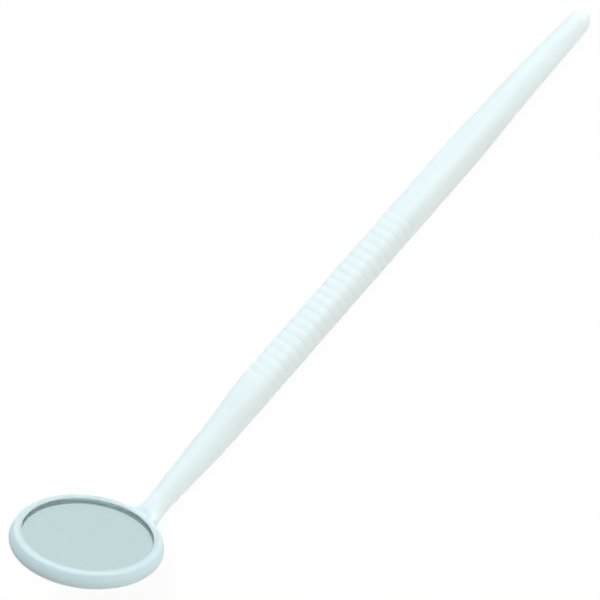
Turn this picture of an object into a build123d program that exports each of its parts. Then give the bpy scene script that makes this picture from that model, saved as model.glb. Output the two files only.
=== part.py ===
from build123d import *
import os
from math import cos, radians, sin, tan

# One-use dental mouth mirror: a moulded handle that carries a round glass mirror in a cup.
# The mirror lies face up on the straight underside of its handle. X runs from the head to the
# tail, Z is up, and the object is the same on both sides of the plane y = 0. The origin is the
# middle of the bottom of the whole object's box. Sizes are in millimetres and degrees.

# Mirror pack, from the front: glass, reflective film, protective paint and adhesive
view_diameter = 24.0  # glass that shows inside the lip
lip_overlap = 0.6  # how far the lip covers the edge of the glass
glass_thickness = 1.2
glass_bevel = 0.1  # ground edge of the glass
film_thickness = 0.02
paint_thickness = 0.06
paint_margin = 0.2  # bare border of film round the paint
adhesive_thickness = 0.15
adhesive_diameter = 19.0
glass_side_clearance = 0.1  # play between the glass and the wall of the cup

# Cup that holds the mirror
lip_edge_thickness = 0.15
rim_width = 1.4  # lip edge to the outer corner of the rim, before rounding
rim_rise = 0.2  # the rim's outer corner stands this far over the lip's edge
rim_round = 0.85
cup_depth = 3.15  # lip edge to the flat back
cup_draft = 21.0  # the side widens this many degrees towards the back
back_round = 1.2
head_angle = 40.4  # between the mirror's face and the handle

# Handle, along X from the first groove of the grip
grip_width = 6.0  # across the flats
grip_corner = 1.6
grip_length = 62.0  # stretch of full square section
groove_count = 22
groove_pitch = 2.0
groove_width = 0.8
groove_depth = 0.15
first_groove = 1.0  # middle of the first groove, from the start of the full square section
neck_diameter = 4.4  # thinnest point, beside the head
neck_length = 13.6  # round cone from the thinnest point to where the flats start
neck_height = 2.25  # middle of the neck, over the underside of the handle
neck_blend = 15.0  # round to square
tail_blend = 21.0  # square to round
tail_length = 16.6  # round cone
tail_diameter = 4.75
tip_length = 3.8  # half ellipsoid that closes the tail

# Root, where the neck spreads into the side of the cup
root_width = 7.0
root_height = 2.7
root_length = 4.6  # thinnest point of the neck to the side of the cup
root_sink = 1.0  # how far the root reaches into the cup's wall
cup_side_height = 1.75  # middle of the cup's side at the root, over the underside of the handle

glass_diameter = view_diameter + 2 * lip_overlap
cup_diameter = glass_diameter + 2 * glass_side_clearance
pack_thickness = glass_thickness + film_thickness + paint_thickness + adhesive_thickness
floor_depth = lip_edge_thickness + pack_thickness
rim_radius = view_diameter / 2 + rim_width
draft_slope = tan(radians(cup_draft))
back_radius = rim_radius + (cup_depth + rim_rise) * draft_slope
side_radius = back_radius - back_round * draft_slope
side_depth = cup_depth / 2

# Places along X, from the middle of the first groove
grip_start = -first_groove
grip_end = grip_start + grip_length
flats_start = grip_start - neck_blend
neck_start = flats_start - neck_length
flats_end = grip_end + tail_blend
tail_end = flats_end + tail_length
root_start = neck_start - root_length

# The cup's side meets the root at the middle of its thickness.
tilt = radians(head_angle)
head_x = root_start - side_radius * cos(tilt) + side_depth * sin(tilt)
head_z = cup_side_height + side_radius * sin(tilt) + side_depth * cos(tilt)
head_plane = Plane((head_x, 0, head_z), x_dir=(cos(tilt), 0, -sin(tilt)), z_dir=(sin(tilt), 0, cos(tilt)))


def across(x, height):
    """Plane across the handle, with its middle at this height."""
    return Plane((x, 0, height), x_dir=(0, 1, 0), z_dir=(1, 0, 0))


def neck_section(x, diameter):
    return across(x, neck_height) * Circle(diameter / 2)


def tail_section(x, diameter):
    """Circle that touches the underside of the handle."""
    return across(x, diameter / 2) * Circle(diameter / 2)


def grip_section(x):
    return across(x, grip_width / 2) * RectangleRounded(grip_width, grip_width, grip_corner)


def tail_tip():
    """Half ellipsoid that closes the tail."""
    radius = tail_diameter / 2
    outline = Line((0, 0), (0, radius)) + Line((0, 0), (tip_length, 0))
    outline += EllipticalCenterArc((0, 0), tip_length, radius, start_angle=0, arc_size=90)
    tip = revolve(Plane.XZ * make_face(outline), Axis.X)
    return Pos(tail_end, 0, radius) * tip


def grooves():
    """One square ring for each groove of the grip."""
    outside = Rectangle(2 * grip_width, 2 * grip_width)
    inside = RectangleRounded(grip_width - 2 * groove_depth, grip_width - 2 * groove_depth, grip_corner)
    ring = across(0, grip_width / 2) * extrude(outside - inside, groove_width / 2, both=True)
    return [Pos(i * groove_pitch, 0, 0) * ring for i in range(groove_count)]


def stem():
    """Neck, grip and tail, cut off flat along the underside."""
    grip = extrude(grip_section(grip_start), grip_length)
    neck_end = neck_section(flats_start, grip_width)
    neck = loft([neck_section(neck_start, neck_diameter), neck_end], ruled=True)
    neck += loft([neck_end, grip_section(grip_start)], ruled=True)
    tail_start = tail_section(flats_end, grip_width)
    tail = loft([grip_section(grip_end), tail_start], ruled=True)
    tail += loft([tail_start, tail_section(tail_end, tail_diameter)], ruled=True)
    below = Pos(0, 0, -grip_width) * Box(4 * grip_length, 4 * grip_width, 2 * grip_width)
    return neck + grip + tail + tail_tip() - below - grooves()


def root():
    """Neck root, which spreads sideways and flattens into the side of the cup."""
    reach = side_radius - root_sink
    deep = head_plane * Plane((reach, 0, -side_depth), x_dir=(0, 1, 0), z_dir=(1, 0, 0))
    end = deep * Ellipse(root_width / 2, root_height / 2)
    return loft([neck_section(neck_start, neck_diameter), end])


def cup_blank():
    """Head without its recess, about the head's own axis."""
    outline = Polyline(
        (0, -cup_depth), (back_radius, -cup_depth), (rim_radius, rim_rise), (view_diameter / 2, 0), (0, 0), close=True
    )
    profile = make_face(outline)
    corners = profile.vertices().sort_by(Axis.X)
    profile = fillet(corners[-1], back_round)
    corner = profile.vertices().sort_by(Axis.Y)[-1]
    profile = fillet(corner, rim_round)
    return head_plane * revolve(Plane.XZ * profile, Axis.Z)


def cup_recess():
    """Opening inside the lip, and the wider pocket under it."""
    opening = Pos(0, 0, -lip_edge_thickness) * extrude(Circle(view_diameter / 2), 2 * cup_depth)
    pocket = Pos(0, 0, -floor_depth) * extrude(Circle(cup_diameter / 2), pack_thickness)
    return head_plane * (opening + pocket)


def disc(front_depth, diameter, thickness):
    """Round layer of the mirror pack whose front lies this deep under the lip's edge."""
    return Pos(0, 0, -front_depth - thickness) * extrude(Circle(diameter / 2), thickness)


def mirror_layers():
    layers = {}
    depth = lip_edge_thickness
    glass = disc(depth, glass_diameter, glass_thickness)
    layers["mirror_glass"] = chamfer(glass.edges().group_by(Axis.Z)[-1], glass_bevel)
    depth += glass_thickness
    layers["reflective_film"] = disc(depth, glass_diameter, film_thickness)
    depth += film_thickness
    layers["backing_paint"] = disc(depth, glass_diameter - 2 * paint_margin, paint_thickness)
    depth += paint_thickness
    layers["adhesive"] = disc(depth, adhesive_diameter, adhesive_thickness)
    return {name: head_plane * layer for name, layer in layers.items()}


parts = {"handle": stem() + root() + cup_blank() - cup_recess(), **mirror_layers()}

box = Compound(list(parts.values())).bounding_box()
to_origin = Pos(-(box.min.X + box.max.X) / 2, 0, -box.min.Z)
os.makedirs("parts", exist_ok=True)
for name, shape in parts.items():
    placed = to_origin * shape
    export_step(placed, f"parts/{name}.step")
    print(name, "solids", len(placed.solids()), "volume", round(placed.volume, 2))
print("box", box.size, "grip's first groove at x", -(box.min.X + box.max.X) / 2, "head at", head_x, head_z)
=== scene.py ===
# %% [markdown]
# # A one-use dental mouth mirror
# The object is two things: a white plastic handle, moulded in one shot with a shallow cup at its end, and
# a round glass mirror that sits in the cup under a thin lip. This lesson rebuilds the handle as one smooth
# skin, the mirror as a real stack of glass and metal film, and lights both softly.
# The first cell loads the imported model. Everything after it is placed from that model, in metres.

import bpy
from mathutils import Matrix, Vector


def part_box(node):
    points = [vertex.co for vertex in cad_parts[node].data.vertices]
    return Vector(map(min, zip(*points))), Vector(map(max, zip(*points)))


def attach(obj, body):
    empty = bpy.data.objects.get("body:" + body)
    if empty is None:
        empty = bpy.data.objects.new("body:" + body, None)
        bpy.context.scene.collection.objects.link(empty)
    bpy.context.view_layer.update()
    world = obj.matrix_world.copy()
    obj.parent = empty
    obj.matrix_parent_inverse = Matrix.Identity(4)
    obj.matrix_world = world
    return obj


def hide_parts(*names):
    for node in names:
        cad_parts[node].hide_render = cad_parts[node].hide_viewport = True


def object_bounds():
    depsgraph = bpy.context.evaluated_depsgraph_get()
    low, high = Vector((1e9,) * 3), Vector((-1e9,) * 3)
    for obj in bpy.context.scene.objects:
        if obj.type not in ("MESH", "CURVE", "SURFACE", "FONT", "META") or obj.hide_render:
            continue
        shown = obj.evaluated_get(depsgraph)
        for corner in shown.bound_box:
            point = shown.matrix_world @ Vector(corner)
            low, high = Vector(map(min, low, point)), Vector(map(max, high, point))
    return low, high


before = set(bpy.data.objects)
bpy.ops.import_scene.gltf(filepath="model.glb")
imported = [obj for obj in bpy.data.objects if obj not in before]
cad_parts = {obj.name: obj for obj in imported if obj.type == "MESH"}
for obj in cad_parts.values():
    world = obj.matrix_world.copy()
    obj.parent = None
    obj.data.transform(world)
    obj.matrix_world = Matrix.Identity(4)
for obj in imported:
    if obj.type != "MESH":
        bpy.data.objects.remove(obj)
cad_low, cad_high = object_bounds()
print("CAD box", [round(1000 * (high - low), 2) for low, high in zip(cad_low, cad_high)], "mm")

# %% [markdown]
# ## Sizes
# A maker's drawing of this mirror would give these sizes in millimetres. They repeat the driving sizes of
# the CAD model. A short helper turns millimetres into Blender's metres, so the numbers stay readable.

# %% Sizes of the mirror and its cup
from math import atan, cos, pi, radians, sin, tan

import bmesh
import bpy
from mathutils import Matrix, Vector

MM = 0.001
view_diameter = 24.0
lip_edge = 0.15
lip_overlap = 0.6
glass_thickness = 1.2
film_thickness = 0.02
pocket_clearance = 0.1
pocket_depth = 1.58
rim_width, rim_rise, rim_round = 1.4, 0.2, 0.85
cup_depth, cup_draft, back_round = 3.15, radians(21.0), 1.2
head_angle = radians(40.4)
glass_radius = view_diameter / 2 + lip_overlap
print("glass", 2 * glass_radius, "mm across,", view_diameter, "mm of it in view")

# %% [markdown]
# The handle is a chain of stretches along X: a round neck, a blend to the square grip, the grip itself, a
# blend back and a round tail with a rounded tip. Only the tip's end comes from the CAD model's box. Every
# other place is worked back from it, so a change of one length moves everything before it.

# %% Sizes of the handle, and its places along X
neck_diameter, neck_height = 4.4, 2.25
neck_length, neck_blend = 13.6, 15.0
grip_width, grip_corner, grip_length = 6.0, 1.6, 62.0
tail_blend, tail_length, tail_diameter, tip_length = 21.0, 16.6, 4.75, 3.8
groove_count, groove_pitch, groove_width, groove_depth = 22, 2.0, 1.5, 0.07
first_groove = 1.0  # its middle, from the start of the grip

tail_end = cad_high[0] / MM - tip_length
flats_end = tail_end - tail_length
grip_end = flats_end - tail_blend
grip_start = grip_end - grip_length
flats_start = grip_start - neck_blend
neck_start = flats_start - neck_length
print("neck starts at", round(neck_start, 2), "mm, tip ends at", round(tail_end + tip_length, 2), "mm")

# %% [markdown]
# ## The head's own axes
# The head is a body of revolution about an axis that leans towards the tail. Its centre comes from the
# reflective film of the CAD model, a plain disc whose box is centred on it. From there a step along the
# axis reaches the plane of the lip, which is height 0 of the head.

# %% Place of the head
film_low, film_high = (Vector(corner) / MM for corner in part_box("reflective_film"))
head_axis = Vector((sin(head_angle), 0, cos(head_angle)))
to_neck = Vector((cos(head_angle), 0, -sin(head_angle)))
film_depth = lip_edge + glass_thickness + film_thickness / 2
head_centre = (film_low + film_high) / 2 + film_depth * head_axis
print("middle of the lip", [round(value, 2) for value in head_centre])


def on_head(radius, height, turn):
    """Point at this radius and height about the head's axis. Turn 0 points at the neck."""
    outwards = cos(turn) * to_neck + sin(turn) * Vector((0, 1, 0))
    return head_centre + radius * outwards + height * head_axis


# %% [markdown]
# ## Helpers
# Every node tree in this file, for geometry and for materials, is built with one small function. It adds a
# node, sets its options, and connects or fills its inputs. A second one turns a designer's sRGB hex colour
# into the linear values that a shader works in.

# %% One way to add a node, and one to read a colour
def add(tree, kind, inputs=None, **options):
    """Adds a node to a tree. Inputs are given by name or number, as a socket to link or a plain value."""
    node = tree.nodes.new(kind)
    for name, value in options.items():
        setattr(node, name, value)
    for key, value in (inputs or {}).items():
        if isinstance(value, bpy.types.NodeSocket):
            tree.links.new(value, node.inputs[key])
        else:
            node.inputs[key].default_value = value
    return node


def linear(hex_colour):
    """Linear RGBA from an sRGB colour such as "#E6F2F4"."""
    parts = [int(hex_colour[i : i + 2], 16) / 255 for i in (1, 3, 5)]
    return [c / 12.92 if c <= 0.04045 else ((c + 0.055) / 1.055) ** 2.4 for c in parts] + [1.0]


def new_material(name):
    """An empty material, its tree and its output."""
    material = bpy.data.materials.new(name)
    material.use_nodes = True
    material.node_tree.nodes.clear()
    return material, material.node_tree, add(material.node_tree, "ShaderNodeOutputMaterial")


print("helpers: add, linear, new_material")

# %% [markdown]
# ## White polystyrene
# Handles like this are injection moulded from high-impact polystyrene, pigmented a cool white. The mould is
# vapour-polished, not mirror-bright, so the skin is satin. Colour and roughness drift a little over about
# nine millimetres, as the melt does when it fills a mould. A noise on Object coordinates gives that drift,
# because such a pattern stays fixed to the piece when the piece moves.

# %% Colour and roughness of the plastic
plastic, tree, output = new_material("satin_white_polystyrene")
place = add(tree, "ShaderNodeTexCoord").outputs["Object"]
drift = add(tree, "ShaderNodeTexNoise", {"Vector": place, "Scale": 1 / (9.0 * MM), "Detail": 3.0})
# To the eye: broad, weak highlights, with no edge to them.
rough = add(tree, "ShaderNodeMapRange", {"Value": drift.outputs[0], 3: 0.44, 4: 0.56})
# To the eye: a clean white with a breath of cyan, never one flat colour.
tint = add(
    tree,
    "ShaderNodeMix",
    {0: drift.outputs[0], 6: linear("#EAF7FD"), 7: linear("#EDF9FF")},
    data_type="RGBA",
)
print("material", plastic.name)

# %% [markdown]
# ## The cup looks deeper
# The cup is drawn a shade darker and cooler than the handle. A smooth step along X, across the neck's root,
# multiplies the colour from there on.

# %% Darker colour of the cup
handle_tone_until, darker_cup_from = neck_start - 3.1, neck_start - 6.1  # along X, in millimetres
along = add(tree, "ShaderNodeSeparateXYZ", {0: place})
# A smooth step from the handle's own tone to the darker, cooler tone of the cup.
thin = add(
    tree,
    "ShaderNodeMapRange",
    {0: along.outputs[0], 1: handle_tone_until * MM, 2: darker_cup_from * MM},
    interpolation_type="SMOOTHSTEP",
)
# To the eye: a cup slightly darker than its handle, with no line between them.
tint = add(
    tree,
    "ShaderNodeMix",
    {0: thin.outputs[0], 6: tint.outputs[2], 7: linear("#E2EAE8")},
    data_type="RGBA",
    blend_type="MULTIPLY",
)
# The cup is drawn darker from this place along X on.
print("the wall counts as thin from x =", round(darker_cup_from, 2), "mm")

# %% [markdown]
# ## Green light under the lip
# All light that reaches the plastic under the lip has crossed the glass, some of it through the cut edge,
# where the glass is green. So the underside of the lip and the pocket's wall look greenish in the mirror.
# Those faces are found by their place: under the lip's edge, over the pocket's floor, and near the axis.

# %% Greener colour in the pocket
pocket_top, pocket_bottom, pocket_reach = -0.1, -2.0, 13.0  # heights over the lip and radius, in millimetres
offset = add(tree, "ShaderNodeVectorMath", {0: place, 1: head_centre * MM}, operation="SUBTRACT").outputs[0]
height = add(tree, "ShaderNodeVectorMath", {0: offset, 1: head_axis}, operation="DOT_PRODUCT")
sideways = add(tree, "ShaderNodeVectorMath", {0: offset, 1: head_axis}, operation="CROSS_PRODUCT")
radius = add(tree, "ShaderNodeVectorMath", {0: sideways.outputs[0]}, operation="LENGTH")
tests = [
    ("LESS_THAN", height, pocket_top),
    ("LESS_THAN", radius, pocket_reach),
    ("GREATER_THAN", height, pocket_bottom),
]
in_pocket = 1.0
for operation, measured, limit in tests:
    test = add(tree, "ShaderNodeMath", {0: measured.outputs["Value"], 1: limit * MM}, operation=operation)
    both = add(tree, "ShaderNodeMath", {0: in_pocket, 1: test.outputs[0]}, operation="MULTIPLY")
    in_pocket = both.outputs[0]
# To the eye: the dark crescent along the far side of the mirror is a sea green, not a grey.
tint = add(
    tree,
    "ShaderNodeMix",
    {0: in_pocket, 6: tint.outputs[2], 7: linear("#E6FCF2")},
    data_type="RGBA",
)
print("pocket from", pocket_bottom, "to", pocket_top, "mm over the lip")

# %% [markdown]
# ## Skin of the moulding
# Two things keep a white moulding from looking like paint. A little light goes in and comes back out nearby,
# which subsurface scattering gives. And the skin is never quite even: it has a faint waviness of about a
# millimetre, and a finer grain from the mould under it. Both are bumps, far too low to be worth geometry.
# The real grain is finer still, and is drawn at an eighth of a millimetre so that a close view can show it.

# %% Bumps and shader
grain = add(tree, "ShaderNodeTexNoise", {"Vector": place, "Scale": 1 / (0.12 * MM), "Detail": 1.0})
waves = add(tree, "ShaderNodeTexNoise", {"Vector": place, "Scale": 1 / (1.4 * MM), "Detail": 2.0})
bump = add(tree, "ShaderNodeBump", {"Height": grain.outputs[0], "Strength": 0.04, "Distance": 0.02 * MM})
bump = add(
    tree,
    "ShaderNodeBump",
    {"Height": waves.outputs[0], "Strength": 0.06, "Distance": 0.1 * MM, "Normal": bump.outputs[0]},
)
# To the eye: soft edges between light and shade, as in porcelain or milk glass, but duller.
shader = add(
    tree,
    "ShaderNodeBsdfPrincipled",
    {
        "Base Color": tint.outputs[2],
        "Roughness": rough.outputs[0],
        "Normal": bump.outputs[0],
        "IOR": 1.59,
        "Subsurface Weight": 0.8,
        "Subsurface Radius": (1.0, 1.0, 1.0),
        "Subsurface Scale": 0.8 * MM,
    },
)
tree.links.new(shader.outputs[0], output.inputs["Surface"])
print("plastic with", len(tree.nodes), "nodes")

# %% [markdown]
# ## The stem as a rule
# Neck, grip and tail follow a rule: at each place along X the section is a circle, a rounded square or
# something between. The grooves of the grip are the same rule with a small inset that repeats every two
# millimetres. A rule like that suits Geometry Nodes: a flat grid gives the points, and a chain of Math nodes
# turns each point's row into a place along the handle and its column into an angle round it. Each line of
# the recipe below is one Math or Map Range node: its result's name, what it does, and what goes in.

# %% Sizes that the tree offers
stem_tree = bpy.data.node_groups.new("ribbed_stem", "GeometryNodeTree")
sizes = {
    "neck start": neck_start,
    "flats start": flats_start,
    "grip start": grip_start,
    "grip end": grip_end,
    "flats end": flats_end,
    "tail end": tail_end,
    "tip length": tip_length,
    "neck diameter": neck_diameter,
    "neck height": neck_height,
    "grip width": grip_width,
    "grip corner": grip_corner,
    "tail diameter": tail_diameter,
    "groove count": groove_count,
    "groove pitch": groove_pitch,
    "groove width": groove_width,
    "groove depth": groove_depth,
}
socket_of = {}
for name, value in sizes.items():
    socket = stem_tree.interface.new_socket(name, in_out="INPUT", socket_type="NodeSocketFloat")
    socket_of[name] = socket.identifier
stem_tree.interface.new_socket("Geometry", in_out="OUTPUT", socket_type="NodeSocketGeometry")
group_in = add(stem_tree, "NodeGroupInput")
group_out = add(stem_tree, "NodeGroupOutput")
print(len(sizes), "named sizes")

# %% [markdown]
# ## Rows where they are needed
# A groove needs rows an eighth of a millimetre apart, and the plain tail doesn't. So the grid's rows are
# shared out over four stretches: the neck, the grooves, the tail and the rounded tip. A flat grid is the
# raw sheet: its rows will run along the handle, and its columns will close round it.

# %% Rows and columns of the grid
columns = 64
rows_neck, rows_groove, rows_tail, rows_tip = 60, 16, 110, 18
rows_grooves = rows_groove * groove_count
row_ends = [rows_neck, rows_neck + rows_grooves, rows_neck + rows_grooves + rows_tail]
row_last = row_ends[-1] + rows_tip
grid = add(
    stem_tree,
    "GeometryNodeMeshGrid",
    {"Size X": 1.0, "Size Y": 1.0, "Vertices X": row_last + 1, "Vertices Y": columns + 1},
)
position = add(stem_tree, "GeometryNodeInputPosition")
split = add(stem_tree, "ShaderNodeSeparateXYZ", {0: position.outputs[0]})
print(row_last, "rows of", columns)

# %% [markdown]
# ## A reader for recipes
# A rule written as dozens of node calls is hard to follow. So it is written as a list, one line for a node,
# and this reader adds the nodes. Results keep their names, so a later line can use them as operands.

# %% The recipe's reader
values = {name: group_in.outputs[name] for name in sizes}
values["across"] = split.outputs["X"]
values["around"] = split.outputs["Y"]


def cook(recipe):
    """Adds one node for each line of a recipe. Operands are names of earlier results or numbers."""
    for name, operation, *operands in recipe:
        inputs = {i: values.get(operand, operand) for i, operand in enumerate(operands)}
        if operation in ("RANGE", "SMOOTH"):
            blend = "LINEAR" if operation == "RANGE" else "SMOOTHSTEP"
            node = add(stem_tree, "ShaderNodeMapRange", inputs, interpolation_type=blend)
        else:
            node = add(stem_tree, "ShaderNodeMath", inputs, operation=operation)
        values[name] = node.outputs[0]


print(len(values), "values to start from")

# %% [markdown]
# ## From rows to places
# Each stretch is one Map Range that runs while its own rows pass, and the stretches add up to a place along
# X. In the tip the rows follow a quarter turn instead, so that they crowd where the end rounds off.

# %% Place along the handle
cook(
    [
        ("row", "MULTIPLY_ADD", "across", row_last, row_last / 2),
        ("half pitch", "MULTIPLY", "groove pitch", 0.5),
        ("first groove", "ADD", "grip start", first_groove),
        ("grooves start", "SUBTRACT", "first groove", "half pitch"),
        ("grooves length", "MULTIPLY", "groove pitch", "groove count"),
        ("neck part", "SUBTRACT", "grooves start", "neck start"),
        ("tail from", "ADD", "grooves start", "grooves length"),
        ("tail part", "SUBTRACT", "tail end", "tail from"),
        ("run 1", "RANGE", "row", 0.0, row_ends[0], 0.0, "neck part"),
        ("run 2", "RANGE", "row", row_ends[0], row_ends[1], 0.0, "grooves length"),
        ("run 3", "RANGE", "row", row_ends[1], row_ends[2], 0.0, "tail part"),
        ("tip turn", "RANGE", "row", row_ends[2], row_last, 0.0, pi / 2),
        ("run 12", "ADD", "run 1", "run 2"),
        ("run 123", "ADD", "run 12", "run 3"),
        ("x body", "ADD", "run 123", "neck start"),
        ("tip sine", "SINE", "tip turn"),
        ("tip scale", "COSINE", "tip turn"),
        ("x", "MULTIPLY_ADD", "tip sine", "tip length", "x body"),
    ]
)
print(len(values), "values with the places")

# %% [markdown]
# ## Round, square and between
# The section is found twice, as a circle and as a rounded square, and mixed. The square comes from a nice
# trick: take the circle's point, stretch it far out, stop it at the corner's centre, and add the corner's
# radius. A smooth step from one to the other makes the flats fade into the neck and the tail with no edge.

# %% Section at each place
flat_crown = 8.0  # the larger, the flatter the sides of the square
cook(
    [
        ("turn", "MULTIPLY_ADD", "around", 2 * pi, pi),
        ("cosine", "COSINE", "turn"),
        ("sine", "SINE", "turn"),
        ("half grip", "MULTIPLY", "grip width", 0.5),
        ("half neck", "MULTIPLY", "neck diameter", 0.5),
        ("half tail", "MULTIPLY", "tail diameter", 0.5),
        ("neck radius", "RANGE", "x", "neck start", "flats start", "half neck", "half grip"),
        ("tail radius", "RANGE", "x", "flats end", "tail end", "half grip", "half tail"),
        ("radius", "MINIMUM", "neck radius", "tail radius"),
        ("round middle", "RANGE", "x", "grip start", "grip end", "neck height", "half grip"),
        ("tail drop", "SUBTRACT", "half grip", "tail radius"),
        ("round height", "SUBTRACT", "round middle", "tail drop"),
        ("round y", "MULTIPLY", "radius", "cosine"),
        ("round z", "MULTIPLY_ADD", "radius", "sine", "round height"),
        ("corner at", "SUBTRACT", "half grip", "grip corner"),
        ("corner at minus", "MULTIPLY", "corner at", -1.0),
        ("far y", "MULTIPLY", "cosine", flat_crown),
        ("far z", "MULTIPLY", "sine", flat_crown),
        ("stop y low", "MAXIMUM", "far y", "corner at minus"),
        ("stop z low", "MAXIMUM", "far z", "corner at minus"),
        ("stop y", "MINIMUM", "stop y low", "corner at"),
        ("stop z", "MINIMUM", "stop z low", "corner at"),
        ("square y", "MULTIPLY_ADD", "grip corner", "cosine", "stop y"),
        ("square z low", "MULTIPLY_ADD", "grip corner", "sine", "stop z"),
        ("square z", "ADD", "square z low", "half grip"),
        ("square in", "SMOOTH", "x", "flats start", "grip start", 0.0, 1.0),
        ("square out", "SMOOTH", "x", "grip end", "flats end", 1.0, 0.0),
        ("square", "MULTIPLY", "square in", "square out"),
        ("gap y", "SUBTRACT", "square y", "round y"),
        ("gap z", "SUBTRACT", "square z", "round z"),
        ("section y", "MULTIPLY_ADD", "gap y", "square", "round y"),
        ("section z", "MULTIPLY_ADD", "gap z", "square", "round z"),
    ]
)
print(len(values), "values with the sections")

# %% [markdown]
# ## Grooves, flat underside and tip
# Each groove is a soft valley, deepest in its middle, because a moulded groove has rounded edges. The
# distance to the nearest groove's middle comes from the remainder of a division. The underside of the neck
# is pressed flat so that the whole handle lies on one line, and the last rows close like an egg.

# %% Grooves, underside and tip
softness = 0.25  # radius, roughly, of the edge between the neck and its flat underside
softened_over = 4.0  # stretch over which the neck's underside turns from round to flat
cook(
    [
        ("along", "SUBTRACT", "x", "grooves start"),
        ("pitches", "DIVIDE", "along", "groove pitch"),
        ("part of pitch", "FRACT", "pitches"),
        ("off middle", "SUBTRACT", "part of pitch", 0.5),
        ("distance 0", "ABSOLUTE", "off middle"),
        ("distance", "MULTIPLY", "distance 0", "groove pitch"),
        ("half groove", "MULTIPLY", "groove width", 0.5),
        ("valley", "SMOOTH", "distance", 0.0, "half groove", 1.0, 0.0),
        ("after first", "GREATER_THAN", "along", 0.0),
        ("before last", "LESS_THAN", "along", "grooves length"),
        ("in grooves", "MULTIPLY", "after first", "before last"),
        ("valley here", "MULTIPLY", "valley", "in grooves"),
        ("inset", "MULTIPLY", "valley here", "groove depth"),
        ("inset y", "MULTIPLY", "inset", "cosine"),
        ("inset z", "MULTIPLY", "inset", "sine"),
        ("ribbed y", "SUBTRACT", "section y", "inset y"),
        ("ribbed z", "SUBTRACT", "section z", "inset z"),
        ("soft start end", "ADD", "neck start", softened_over),
        ("soft in", "SMOOTH", "x", "neck start", "soft start end", 0.0, softness),
        ("not square", "SUBTRACT", 1.0, "square in"),
        ("soft", "MULTIPLY", "soft in", "not square"),
        ("soft squared", "MULTIPLY", "soft", "soft"),
        ("z and soft", "MULTIPLY_ADD", "ribbed z", "ribbed z", "soft squared"),
        ("z length", "SQRT", "z and soft"),
        ("z twice", "ADD", "z length", "ribbed z"),
        ("flat z", "MULTIPLY", "z twice", 0.5),
        ("tip y", "MULTIPLY", "ribbed y", "tip scale"),
        ("over middle", "SUBTRACT", "flat z", "half tail"),
        ("tip z", "MULTIPLY_ADD", "over middle", "tip scale", "half tail"),
    ]
)
print(len(values), "values in the whole rule")

# %% [markdown]
# ## Bend the sheet into the stem
# Set Position moves each grid point to its place on the stem. The two long edges of the sheet then lie on
# each other, and so do all points of the last row, so Merge by Distance closes the seam and the pole. The
# tree ends with Realize Instances and Set Material, so that the mesh holds everything itself.

# %% End of the tree
weld = 0.002 * MM  # points nearer than this are the same point
place = add(stem_tree, "ShaderNodeCombineXYZ", {0: values["x"], 1: values["tip y"], 2: values["tip z"]})
place = add(stem_tree, "ShaderNodeVectorMath", {0: place.outputs[0], "Scale": MM}, operation="SCALE")
shape = add(stem_tree, "GeometryNodeSetPosition", {0: grid.outputs[0], "Position": place.outputs[0]})
shape = add(stem_tree, "GeometryNodeMergeByDistance", {0: shape.outputs[0], "Distance": weld})
shape = add(stem_tree, "GeometryNodeRealizeInstances", {0: shape.outputs[0]})
shape = add(stem_tree, "GeometryNodeSetMaterial", {"Geometry": shape.outputs[0], "Material": plastic})
stem_tree.links.new(shape.outputs[0], group_out.inputs[0])
print("stem tree with", len(stem_tree.nodes), "nodes")

# %% [markdown]
# A modifier's input is set by its socket's identifier, before the object is first evaluated. The evaluated
# object then gives a plain mesh, and the object that carried the modifier goes.

# %% The stem as a plain mesh
carrier = bpy.data.objects.new("stem_rule", bpy.data.meshes.new("stem_rule"))
bpy.context.scene.collection.objects.link(carrier)
modifier = carrier.modifiers.new("stem", "NODES")
modifier.node_group = stem_tree
for name, value in sizes.items():
    modifier[socket_of[name]] = float(value)
stem_mesh = bpy.data.meshes.new_from_object(carrier.evaluated_get(bpy.context.evaluated_depsgraph_get()))
bpy.data.objects.remove(carrier)
print("stem has", len(stem_mesh.polygons), "faces")

# %% [markdown]
# ## The cup as a cage
# The cup is turned, but the neck grows out of its side, and that join has no rule as simple as the stem's.
# A coarse cage under a Subdivision Surface is the classic answer: rings of faces for the cup, a few faces
# left out of its side, and a bridge from that hole to the end of the neck. Subdivision then rounds the
# bridge by itself, as a mould maker would blend it with a ball cutter.

# %% Measures of the cup
pocket_radius = glass_radius + pocket_clearance
lip_radius = view_diameter / 2
lip_under = lip_edge - 0.02  # a hair of air over the glass, so that the two skins don't share a plane
rim_radius = lip_radius + rim_width
back_radius = rim_radius + (cup_depth + rim_rise) * tan(cup_draft)
rim_slope = atan(rim_rise / rim_width)
print("rim", round(2 * rim_radius, 2), "and back", round(2 * back_radius, 2), "mm across, before rounding")

# %% [markdown]
# Subdivision pulls a ring of points inwards by a known share, so rings and rounds are made that much larger.
# A round in the outline is a short arc between two straight lines, with the same correction.

# %% Helpers for rounds
def swell(step):
    """How much larger a ring of cage points must be than the circle that subdivision makes of it."""
    return 3 / (2 + cos(step))


def corner_arc(corner, before, after, radius, steps):
    """Points of the round that replaces a corner between two straight lines."""
    corner, before, after = Vector(corner), Vector(before), Vector(after)
    to_before, to_after = (before - corner).normalized(), (after - corner).normalized()
    half = to_before.angle(to_after) / 2
    middle = corner + (to_before + to_after).normalized() * radius / sin(half)
    start, end = ((corner + way * radius / tan(half) - middle) / radius for way in (to_before, to_after))
    larger = radius * swell((pi - 2 * half) / steps)
    inner = [middle + larger * start.slerp(end, i / steps) for i in range(1, steps)]
    return [middle + radius * start, *inner, middle + radius * end]


print("a quarter turn in 3 steps is made", round(swell(pi / 6), 3), "times as large")

# %% [markdown]
# The outline goes from the pocket's floor, out under the lip, over the rim and down to the flat back. The
# lip's edge and the pocket stay sharp, while the rim and the back's edge are rounds.

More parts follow.
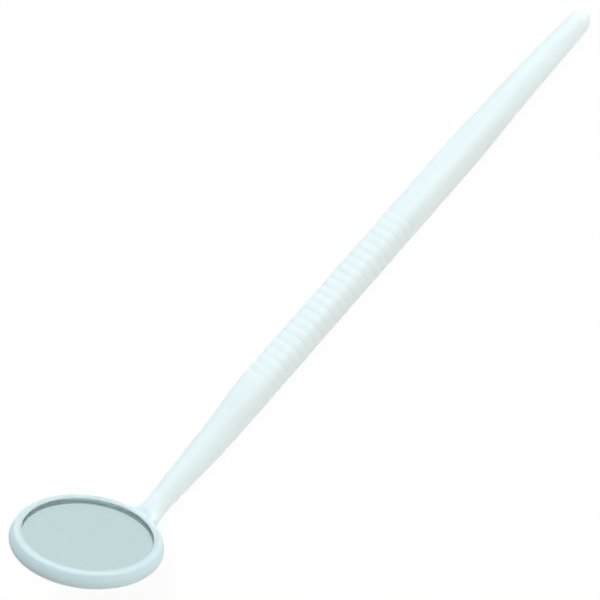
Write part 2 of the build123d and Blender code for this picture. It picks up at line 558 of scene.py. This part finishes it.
# %% Outline of the cup
rim_corner, back_corner = (rim_radius, rim_rise), (back_radius, -cup_depth)
rim_arc = corner_arc(rim_corner, (lip_radius, 0), back_corner, rim_round, 3)
back_arc = corner_arc(back_corner, rim_corner, (0, -cup_depth), back_round, 3)
back_arc[0] += Vector((0.1, 0.05))  # the side bulges a little between its rounds
inside = [(6.0, -pocket_depth), (pocket_radius, -pocket_depth)]
inside += [(pocket_radius, -lip_under), (lip_radius, -lip_under)]
lip_top = [(lip_radius, -0.01), (lip_radius + 0.06, 0.015), (lip_radius + 0.45, rim_slope * 0.45)]
back = [(10.0, -cup_depth), (5.0, -cup_depth)]
outline = [Vector(point) for point in (*inside, *lip_top, *rim_arc, *back_arc, *back)]
print("outline of", len(outline), "points")

# %% [markdown]
# ## Rings, hole and bridge
# The cup has 56 columns. Four of them, over four rows of the side, make the hole. Its border has sixteen
# points, and the end of the neck is a ring of sixteen points, so the bridge is sixteen strips of faces.
# First come the rings of the cup and its two flat discs, with the hole left open.

# %% Cage of the cup
cup_columns, hole_half, hole_row = 56, 2, len(inside) + len(lip_top) + 1
root_points = 16
cup_swell, root_swell = swell(2 * pi / cup_columns), swell(2 * pi / root_points)
cage = bmesh.new()
rings = []
for radius, height in outline:
    turns = [2 * pi * i / cup_columns for i in range(cup_columns)]
    rings.append([cage.verts.new(on_head(radius * cup_swell, height, turn)) for turn in turns])
for centre_height, ring, flip in ((-pocket_depth, rings[0], False), (-cup_depth, rings[-1], True)):
    middle = cage.verts.new(on_head(0, centre_height, 0))
    for i in range(cup_columns):
        corners = (middle, ring[i], ring[(i + 1) % cup_columns])
        cage.faces.new(reversed(corners) if flip else corners)
hole_rows = range(hole_row, hole_row + 2 * hole_half)
for row in range(len(rings) - 1):
    for i in range(cup_columns):
        after = (i + 1) % cup_columns
        from_neck = i if i < cup_columns / 2 else i - cup_columns
        if row in hole_rows and -hole_half <= from_neck < hole_half:
            continue
        cage.faces.new((rings[row][i], rings[row + 1][i], rings[row + 1][after], rings[row][after]))
print(len(cage.faces), "faces in the cage of the cup")


# %% [markdown]
# ## Root of the neck
# Four ovals lead from the round neck to the hole. Each is a little wider and flatter than the one before,
# so the root flares sideways into the cup, which keeps a thin neck from snapping there.

# %% Ovals, border and bridge
def root_ring(beyond, width, height, middle):
    """Oval ring of the root, this far beyond the thin end of the neck, from the +Y side over the top."""
    turns = [2 * pi * i / root_points for i in range(root_points)]
    wide, high = width / 2 * root_swell, height / 2 * root_swell
    return [cage.verts.new((neck_start - beyond, wide * cos(t), middle + high * sin(t))) for t in turns]


columns_over = range(hole_half, -hole_half - 1, -1)
top, high, half, low, bottom = (rings[row] for row in range(hole_row, hole_row + 2 * hole_half + 1))
border = [half[hole_half], high[hole_half], *(top[i] for i in columns_over), high[-hole_half]]
border += [half[-hole_half], low[-hole_half], *(bottom[i] for i in reversed(columns_over)), low[hole_half]]
# Beyond the thin end, width, height, and middle over the underside, of each oval
ovals = [(0, neck_diameter, neck_diameter, neck_height), (0.8, 4.42, 4.4, 2.25)]
ovals += [(2.0, 4.66, 4.2, 2.27), (3.2, 5.3, 3.7, 2.35)]
root = [root_ring(*oval) for oval in ovals] + [border]
for outer, inner in zip(root, root[1:]):
    for i in range(root_points):
        after = (i + 1) % root_points
        cage.faces.new((outer[i], outer[after], inner[after], inner[i]))
print(len(cage.faces), "faces with the root")

# %% [markdown]
# ## Creases and rounding
# A crease tells Subdivision Surface to keep an edge sharp. The pocket's two corners and the lip's inner edge
# get one, so the glass still fits. Everything else is rounded twice over.

# %% Crease and subdivide the cage
crease = cage.edges.layers.float.new("crease_edge")
for ring in rings[1:4]:
    for i in range(cup_columns):
        cage.edges.get((ring[i], ring[(i + 1) % cup_columns]))[crease] = 1.0
bmesh.ops.scale(cage, vec=(MM, MM, MM), verts=cage.verts)
cage_mesh = bpy.data.meshes.new("cup_cage")
cage.to_mesh(cage_mesh)
cage.free()
cup = bpy.data.objects.new("cup_cage", cage_mesh)
bpy.context.scene.collection.objects.link(cup)
smooth = cup.modifiers.new("round", "SUBSURF")
smooth.levels = smooth.render_levels = 2
cup_mesh = bpy.data.meshes.new_from_object(cup.evaluated_get(bpy.context.evaluated_depsgraph_get()))
bpy.data.objects.remove(cup)
print("cup and root have", len(cup_mesh.polygons), "faces")

# %% [markdown]
# ## One skin
# The subdivided root ends in a ring of 64 points, and the stem starts with one. Each point of the root's
# end is set to its exact angle, so that the two rings fall together and weld. The result is one closed
# skin, as the moulding is.

# %% Weld stem and cup
skin = bmesh.new()
skin.from_mesh(cup_mesh)
neck_radius = neck_diameter / 2
for vert in (v for v in skin.verts if v.is_boundary):
    offset = Vector((vert.co.y, vert.co.z - neck_height * MM))
    step = round(offset.angle_signed(Vector((1, 0))) / (2 * pi / columns))
    turn = step * 2 * pi / columns
    vert.co = Vector((neck_start, neck_radius * cos(turn), neck_height + neck_radius * sin(turn))) * MM
skin.from_mesh(stem_mesh)
bmesh.ops.remove_doubles(skin, verts=skin.verts, dist=weld)
bmesh.ops.recalc_face_normals(skin, faces=skin.faces)
open_edges = sum(not edge.is_manifold for edge in skin.edges)
handle_mesh = bpy.data.meshes.new("moulded_handle")
skin.to_mesh(handle_mesh)
skin.free()
handle_mesh.shade_smooth()
handle_mesh.materials.clear()
handle_mesh.materials.append(plastic)
handle = bpy.data.objects.new("moulded_handle", handle_mesh)
bpy.context.scene.collection.objects.link(handle)
print("handle has", len(handle_mesh.polygons), "faces and", open_edges, "open edges")

# %% [markdown]
# ## Glass and film
# The mirror is a disc of float glass, silvered on the back. Looking into it, the eye sees the front of the
# glass first, then the film a millimetre deeper, which is why the lip shows twice: once itself and once
# reflected from below. Two real surfaces give that for nothing. The film reaches a few thousandths of a
# millimetre into the glass, so that no air lies between them.

# %% Disc shapes
def turned(name, points, segments, material):
    """Closed solid turned about the head's axis from an outline of (radius, height)."""
    disc = bmesh.new()
    ends = [disc.verts.new(on_head(0, points[i][1], 0) * MM) for i in (0, -1)]
    loops = []
    for radius, height in points:
        turns = [2 * pi * i / segments for i in range(segments)]
        loops.append([disc.verts.new(on_head(radius, height, turn) * MM) for turn in turns])
    for i in range(segments):
        after = (i + 1) % segments
        disc.faces.new((ends[0], loops[0][i], loops[0][after]))
        disc.faces.new((ends[1], loops[-1][after], loops[-1][i]))
        for one, other in zip(loops, loops[1:]):
            disc.faces.new((one[i], other[i], other[after], one[after]))
    bmesh.ops.recalc_face_normals(disc, faces=disc.faces)
    mesh = bpy.data.meshes.new(name)
    disc.to_mesh(mesh)
    disc.free()
    mesh.materials.append(material)
    piece = bpy.data.objects.new(name, mesh)
    bpy.context.scene.collection.objects.link(piece)
    print(name, "has", len(mesh.polygons), "faces")
    return piece


print("helper: turned")

# %% [markdown]
# ## Float glass
# Clear soda-lime glass bends light with an index of 1.52 and is very slightly green, which shows only after
# light has crossed it twice. Its faces are fire-polished. Handling leaves a faint smear, so the roughness
# wanders between nothing and very little.

# %% Glass
glass_material, tree, output = new_material("clear_float_glass")
place = add(tree, "ShaderNodeTexCoord").outputs["Object"]
smear = add(tree, "ShaderNodeTexNoise", {"Vector": place, "Scale": 1 / (5.0 * MM), "Detail": 4.0})
rough = add(tree, "ShaderNodeMapRange", {"Value": smear.outputs[0], 3: 0.0, 4: 0.02})
# To the eye: clear, with a green tinge over the mirror and a weak second reflection on its face.
shader = add(
    tree,
    "ShaderNodeBsdfPrincipled",
    {
        "Base Color": linear("#E6FDFA"),
        "Roughness": rough.outputs[0],
        "IOR": 1.52,
        "Transmission Weight": 1.0,
    },
)
tree.links.new(shader.outputs[0], output.inputs["Surface"])
print("material", glass_material.name)

# %% [markdown]
# ## Silvering
# The film is metal, evaporated on the back of the glass in a vacuum. It is bright and nearly neutral, and as
# smooth as the glass that it lies on. It takes about a quarter of the light, which makes a mirror of this
# kind look grey beside its white cup. A faint cloud keeps its tone from being one number.

# %% Film
film_material, tree, output = new_material("evaporated_silver_film")
place = add(tree, "ShaderNodeTexCoord").outputs["Object"]
cloud = add(tree, "ShaderNodeTexNoise", {"Vector": place, "Scale": 1 / (7.0 * MM), "Detail": 3.0})
tone = add(
    tree,
    "ShaderNodeMix",
    {0: cloud.outputs[0], 6: linear("#DCDFE2"), 7: linear("#DFE2E5")},
    data_type="RGBA",
)
# To the eye: a sharp, slightly dimmed image of the surroundings.
shader = add(
    tree, "ShaderNodeBsdfPrincipled", {"Base Color": tone.outputs[2], "Metallic": 1.0, "Roughness": 0.02}
)
tree.links.new(shader.outputs[0], output.inputs["Surface"])
print("material", film_material.name)

# %% [markdown]
# ## The two discs
# Glass is cut, and then its sharp edges are ground off by a tenth of a millimetre, so that nobody is cut in
# turn. The outlines give that edge. Both discs are turned about the head's axis.

# %% Glass and film discs
glass_top, glass_bottom, ground_edge = -lip_edge, -lip_edge - glass_thickness, 0.1
glass_outline = [
    (glass_radius - ground_edge, glass_top),
    (glass_radius, glass_top - ground_edge),
    (glass_radius, glass_bottom + ground_edge / 2),
    (glass_radius - ground_edge / 2, glass_bottom),
]
film_bite = 0.005
film_outline = [
    (glass_radius - ground_edge, glass_bottom + film_bite),
    (glass_radius - ground_edge, glass_bottom - film_thickness),
]
disc_segments = 192
glass = turned("mirror_disc", glass_outline, disc_segments, glass_material)
film = turned("silvered_back", film_outline, disc_segments, film_material)

# %% [markdown]
# ## Lacquer
# Behind the film lies a grey protective lacquer, sprayed on, which keeps damp off the metal. Nobody sees it
# until the mirror is pulled apart, so the CAD solid stays as it is and only gets its finish.

# %% Grey lacquer
paint, tree, output = new_material("grey_mirror_lacquer")
place = add(tree, "ShaderNodeTexCoord").outputs["Object"]
spray = add(tree, "ShaderNodeTexNoise", {"Vector": place, "Scale": 1 / (0.3 * MM), "Detail": 2.0})
tone = add(
    tree,
    "ShaderNodeMix",
    {0: spray.outputs[0], 6: linear("#5F6163"), 7: linear("#6B6D70")},
    data_type="RGBA",
)
# To the eye: a dull grey with the fine speckle of spray.
shader = add(tree, "ShaderNodeBsdfPrincipled", {"Base Color": tone.outputs[2], "Roughness": 0.7})
tree.links.new(shader.outputs[0], output.inputs["Surface"])
print("material", paint.name)

# %% [markdown]
# ## Adhesive
# A dab of adhesive holds the disc on the cup's floor. Once set it is a hard amber resin, a little glossy and
# slightly cloudy. It is a CAD solid too, and only its finish is set here.

# %% Amber adhesive
glue, tree, output = new_material("set_amber_adhesive")
place = add(tree, "ShaderNodeTexCoord").outputs["Object"]
cloud = add(tree, "ShaderNodeTexNoise", {"Vector": place, "Scale": 1 / (2.0 * MM), "Detail": 3.0})
tone = add(
    tree,
    "ShaderNodeMix",
    {0: cloud.outputs[0], 6: linear("#D9C48E"), 7: linear("#E6D7AC")},
    data_type="RGBA",
)
# To the eye: pale honey, with a soft shine.
shader = add(
    tree, "ShaderNodeBsdfPrincipled", {"Base Color": tone.outputs[2], "Roughness": 0.35, "IOR": 1.5}
)
tree.links.new(shader.outputs[0], output.inputs["Surface"])
print("material", glue.name)

# %% [markdown]
# A CAD node is already in the scene, in its place. Its shape is right and is never touched, so its finish
# goes into the material slots of its object.

# %% Finish the hidden layers
for node, material in (("backing_paint", paint), ("adhesive", glue)):
    for material_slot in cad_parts[node].material_slots:
        material_slot.material = material
    print(node, "is finished as", material.name)

# %% [markdown]
# ## Floor
# A small white product is usually shown on a white paper sweep that vanishes into the
# background. The paper is a plain pale diffuse surface. What the camera, the mirror and the glass see of it
# is nearly all a white glow of strength 1, and the small rest is the paper itself, with the object's
# shadow. Light that bounces off the paper onto the object stays real, and is a little warm.

# %% Paper of the floor
floor_material, tree, output = new_material("white_sweep_paper")
path = add(tree, "ShaderNodeLightPath")
paper = add(tree, "ShaderNodeBsdfDiffuse", {"Color": linear("#F7F3EF")})
glow = add(tree, "ShaderNodeEmission", {"Color": (1, 1, 1, 1), "Strength": 1.0})
glow_share = 0.95
seen = path.outputs["Is Camera Ray"]
for kind in ("Is Glossy Ray", "Is Transmission Ray"):
    seen = add(tree, "ShaderNodeMath", {0: seen, 1: path.outputs[kind]}, operation="MAXIMUM").outputs[0]
share = add(tree, "ShaderNodeMath", {0: seen, 1: glow_share}, operation="MULTIPLY")
mixed = add(tree, "ShaderNodeMixShader", {0: share.outputs[0], 1: paper.outputs[0], 2: glow.outputs[0]})
tree.links.new(mixed.outputs[0], output.inputs["Surface"])
print("floor glows by", glow_share)

# %% [markdown]
# The floor is one square, eight metres wide, so its edge is never in view.

# %% Floor
reach = 4.0
corners = [(-reach, -reach, 0), (reach, -reach, 0), (reach, reach, 0), (-reach, reach, 0)]
floor_mesh = bpy.data.meshes.new("floor")
floor_mesh.from_pydata(corners, [], [(0, 1, 2, 3)])
floor_mesh.materials.append(floor_material)
floor = bpy.data.objects.new("floor", floor_mesh)
bpy.context.scene.collection.objects.link(floor)
print("floor", 2 * reach, "m wide")

# %% [markdown]
# ## World
# Beyond the floor is the tent. It is plain white to the camera and through the glass, which is what the
# mirror shows. Reflections on the plastic see it at about two fifths, because a real tent is darker at its
# sides and would otherwise bleach the edges of a satin surface. As a lamp it is weak: the lamps do the work.

# %% Tent
world = bpy.data.worlds.new("light_tent")
bpy.context.scene.world = world
world.use_nodes = True
tree = world.node_tree
tree.nodes.clear()
path = add(tree, "ShaderNodeLightPath")
tent = add(tree, "ShaderNodeBackground", {"Color": (1, 1, 1, 1), "Strength": 0.03})
white = add(tree, "ShaderNodeBackground", {"Color": (1, 1, 1, 1), "Strength": 1.0})
gloss_share = 0.4
gloss = add(tree, "ShaderNodeMath", {0: path.outputs["Is Glossy Ray"], 1: gloss_share}, operation="MULTIPLY")
seen = gloss.outputs[0]
for kind in ("Is Camera Ray", "Is Transmission Ray"):
    seen = add(tree, "ShaderNodeMath", {0: seen, 1: path.outputs[kind]}, operation="MAXIMUM").outputs[0]
mixed = add(tree, "ShaderNodeMixShader", {0: seen, 1: tent.outputs[0], 2: white.outputs[0]})
add(tree, "ShaderNodeOutputWorld", {"Surface": mixed.outputs[0]})
print("world", world.name)

# %% [markdown]
# ## Lamps
# Five large soft lamps stand three metres away. Overhead, beyond the tail and behind on the right they are
# cool, and model the top. Two in front are warm and weaker, and fill the side that faces the camera. All are
# hidden from reflections and from the glass, where a square lamp would show as a bright patch.

# %% Lamps
def soft_lamp(name, place, power, colour):
    """Square area lamp that looks at the object."""
    data = bpy.data.lights.new(name, "AREA")
    data.size = lamp_size
    data.energy = power
    data.color = colour
    lamp = bpy.data.objects.new(name, data)
    lamp.location = place
    lamp.visible_glossy = lamp.visible_transmission = False
    lamp.rotation_euler = Vector(place).to_track_quat("Z", "Y").to_euler()
    bpy.context.scene.collection.objects.link(lamp)


lamp_size = 1.6
cool, coolest, warm = (0.93, 0.98, 1.0), (0.87, 0.96, 1.0), (1.0, 0.97, 0.94)
soft_lamp("overhead", (0.0, 0.0, 3.0), 38.6, cool)
soft_lamp("tail_side", (2.3, 0.0, 1.93), 27.5, coolest)
soft_lamp("back_right", (1.06, 1.84, 2.12), 40.6, cool)
soft_lamp("front_low", (1.2, -2.65, 0.38), 26.0, warm)
soft_lamp("front_high", (-0.2, -2.29, 1.93), 21.5, warm)
print("lamps", [light.name for light in bpy.data.lights])

# %% [markdown]
# ## Camera
# A long lens from above and beside the head, turned until the handle climbs from lower left to upper right.
# The camera looks at a point on the grip. Its distance, height and turn are those of a copy stand.

# %% Camera
aim = Vector((-5.16, 6.03, 3.0)) * MM
camera_distance = 387.7 * MM
camera_height, camera_side, camera_roll = radians(49.72), radians(-113.25), radians(-30.45)
level = Vector((cos(camera_side), sin(camera_side), 0))
away = cos(camera_height) * level + sin(camera_height) * Vector((0, 0, 1))
data = bpy.data.cameras.new("camera")
data.lens, data.sensor_width = 119.7, 36.0
data.clip_start, data.clip_end = 0.01, 20.0
camera = bpy.data.objects.new("camera", data)
turn = away.to_track_quat("Z", "Y").to_matrix() @ Matrix.Rotation(camera_roll, 3, "Z")
camera.matrix_world = Matrix.Translation(aim + camera_distance * away) @ turn.to_4x4()
bpy.context.scene.collection.objects.link(camera)
bpy.context.scene.camera = camera
bpy.context.scene.view_settings.view_transform = "Standard"
print("camera", round(camera_distance * 1000), "mm away")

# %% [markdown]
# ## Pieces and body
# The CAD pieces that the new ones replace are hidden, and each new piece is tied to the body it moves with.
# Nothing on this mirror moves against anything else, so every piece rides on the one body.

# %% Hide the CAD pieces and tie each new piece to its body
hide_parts("handle")
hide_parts("mirror_glass")
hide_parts("reflective_film")
for piece, slot in ((handle, "white_plastic"), (glass, "clear_glass"), (film, "mirror_film")):
    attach(piece, "root")
